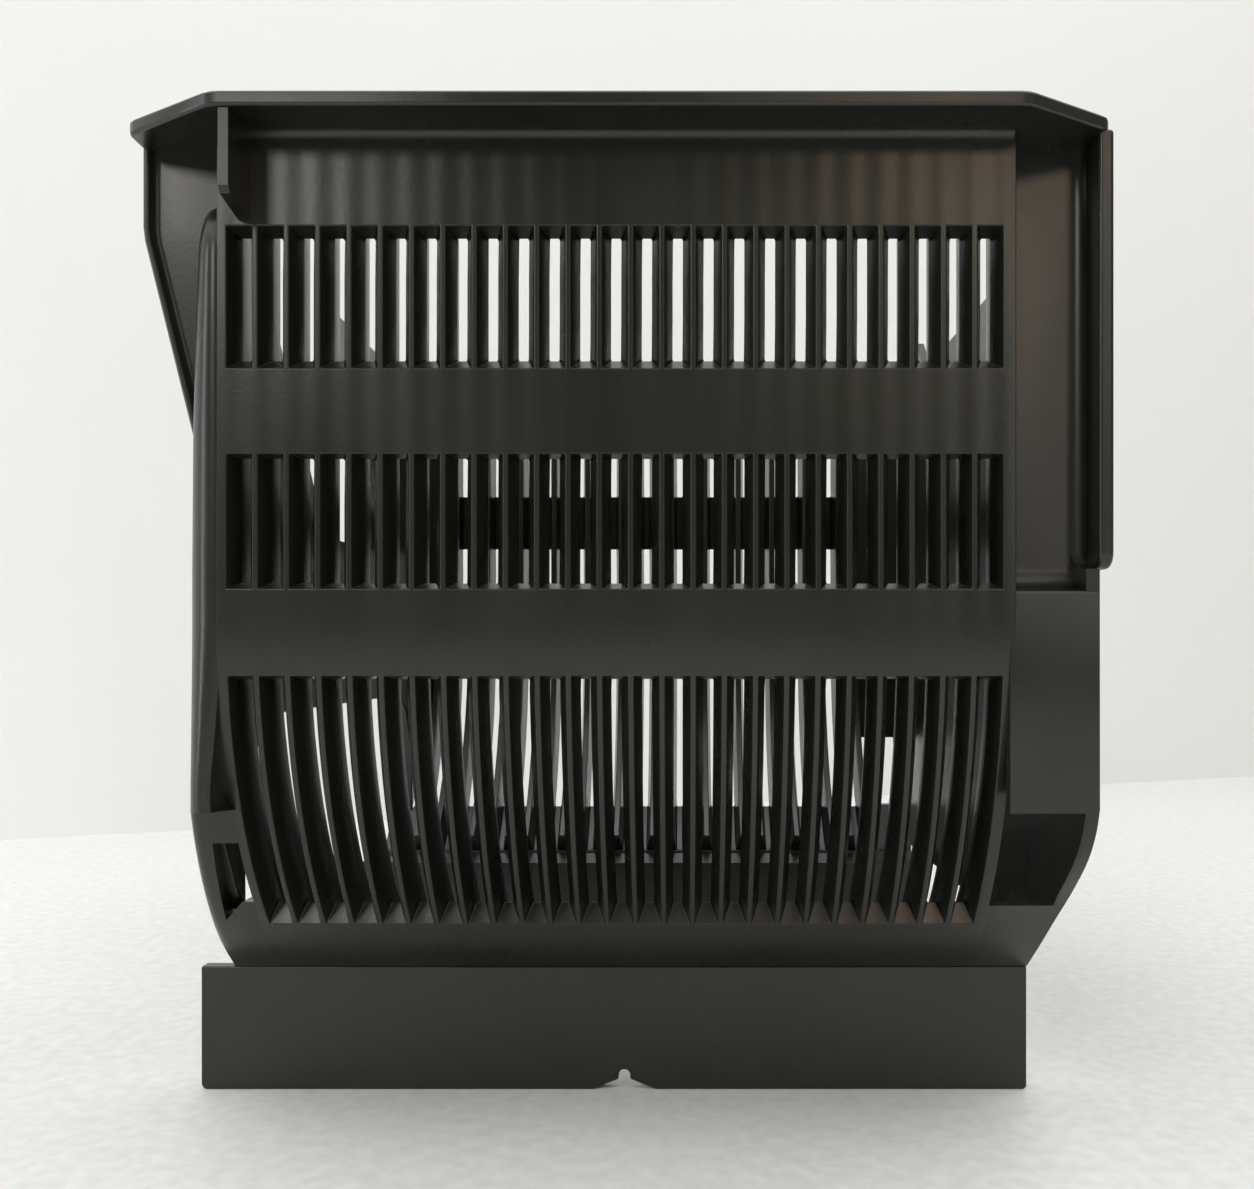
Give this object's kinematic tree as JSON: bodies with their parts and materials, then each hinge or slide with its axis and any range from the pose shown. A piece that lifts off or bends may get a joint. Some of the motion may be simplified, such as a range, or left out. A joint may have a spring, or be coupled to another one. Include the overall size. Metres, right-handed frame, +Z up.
{
  "type": "wafer carrier",
  "caption": "Open black plastic carrier with slotted curved side walls, foot rails, top flanges and an H-bar end, which holds round wafers on edge.",
  "frame": {"origin": "bottom centre of the whole carrier, on the surface that the foot rails stand on", "axes": "+Z up; +X along the row of slots from the flared end wall to the H-bar end; +Y across from the front side wall to the back one"},
  "size_m": [0.201, 0.2346, 0.2116],
  "materials": {
    "black_plastic": "semi-gloss moulded"
  },
  "bodies": {
    "root": {"front_side_wall": "black_plastic", "front_divider_01": "black_plastic", "front_divider_02": "black_plastic", "front_divider_03": "black_plastic", "front_divider_04": "black_plastic", "front_divider_05": "black_plastic", "front_divider_06": "black_plastic", "front_divider_07": "black_plastic", "front_divider_08": "black_plastic", "front_divider_09": "black_plastic", "front_divider_10": "black_plastic", "front_divider_11": "black_plastic", "front_divider_12": "black_plastic", "front_divider_13": "black_plastic", "front_divider_14": "black_plastic", "front_divider_15": "black_plastic", "front_divider_16": "black_plastic", "front_divider_17": "black_plastic", "front_divider_18": "black_plastic", "front_divider_19": "black_plastic", "front_divider_20": "black_plastic", "front_divider_21": "black_plastic", "front_divider_22": "black_plastic", "front_divider_23": "black_plastic", "front_divider_24": "black_plastic", "front_top_flange": "black_plastic", "front_gusset": "black_plastic", "front_foot_rail": "black_plastic", "back_side_wall": "black_plastic", "back_divider_01": "black_plastic", "back_divider_02": "black_plastic", "back_divider_03": "black_plastic", "back_divider_04": "black_plastic", "back_divider_05": "black_plastic", "back_divider_06": "black_plastic", "back_divider_07": "black_plastic", "back_divider_08": "black_plastic", "back_divider_09": "black_plastic", "back_divider_10": "black_plastic", "back_divider_11": "black_plastic", "back_divider_12": "black_plastic", "back_divider_13": "black_plastic", "back_divider_14": "black_plastic", "back_divider_15": "black_plastic", "back_divider_16": "black_plastic", "back_divider_17": "black_plastic", "back_divider_18": "black_plastic", "back_divider_19": "black_plastic", "back_divider_20": "black_plastic", "back_divider_21": "black_plastic", "back_divider_22": "black_plastic", "back_divider_23": "black_plastic", "back_divider_24": "black_plastic", "back_top_flange": "black_plastic", "back_gusset": "black_plastic", "back_foot_rail": "black_plastic", "flared_end_wall": "black_plastic", "h_bar_end_wall": "black_plastic", "h_bar": "black_plastic"}
  },
  "joints": []
}
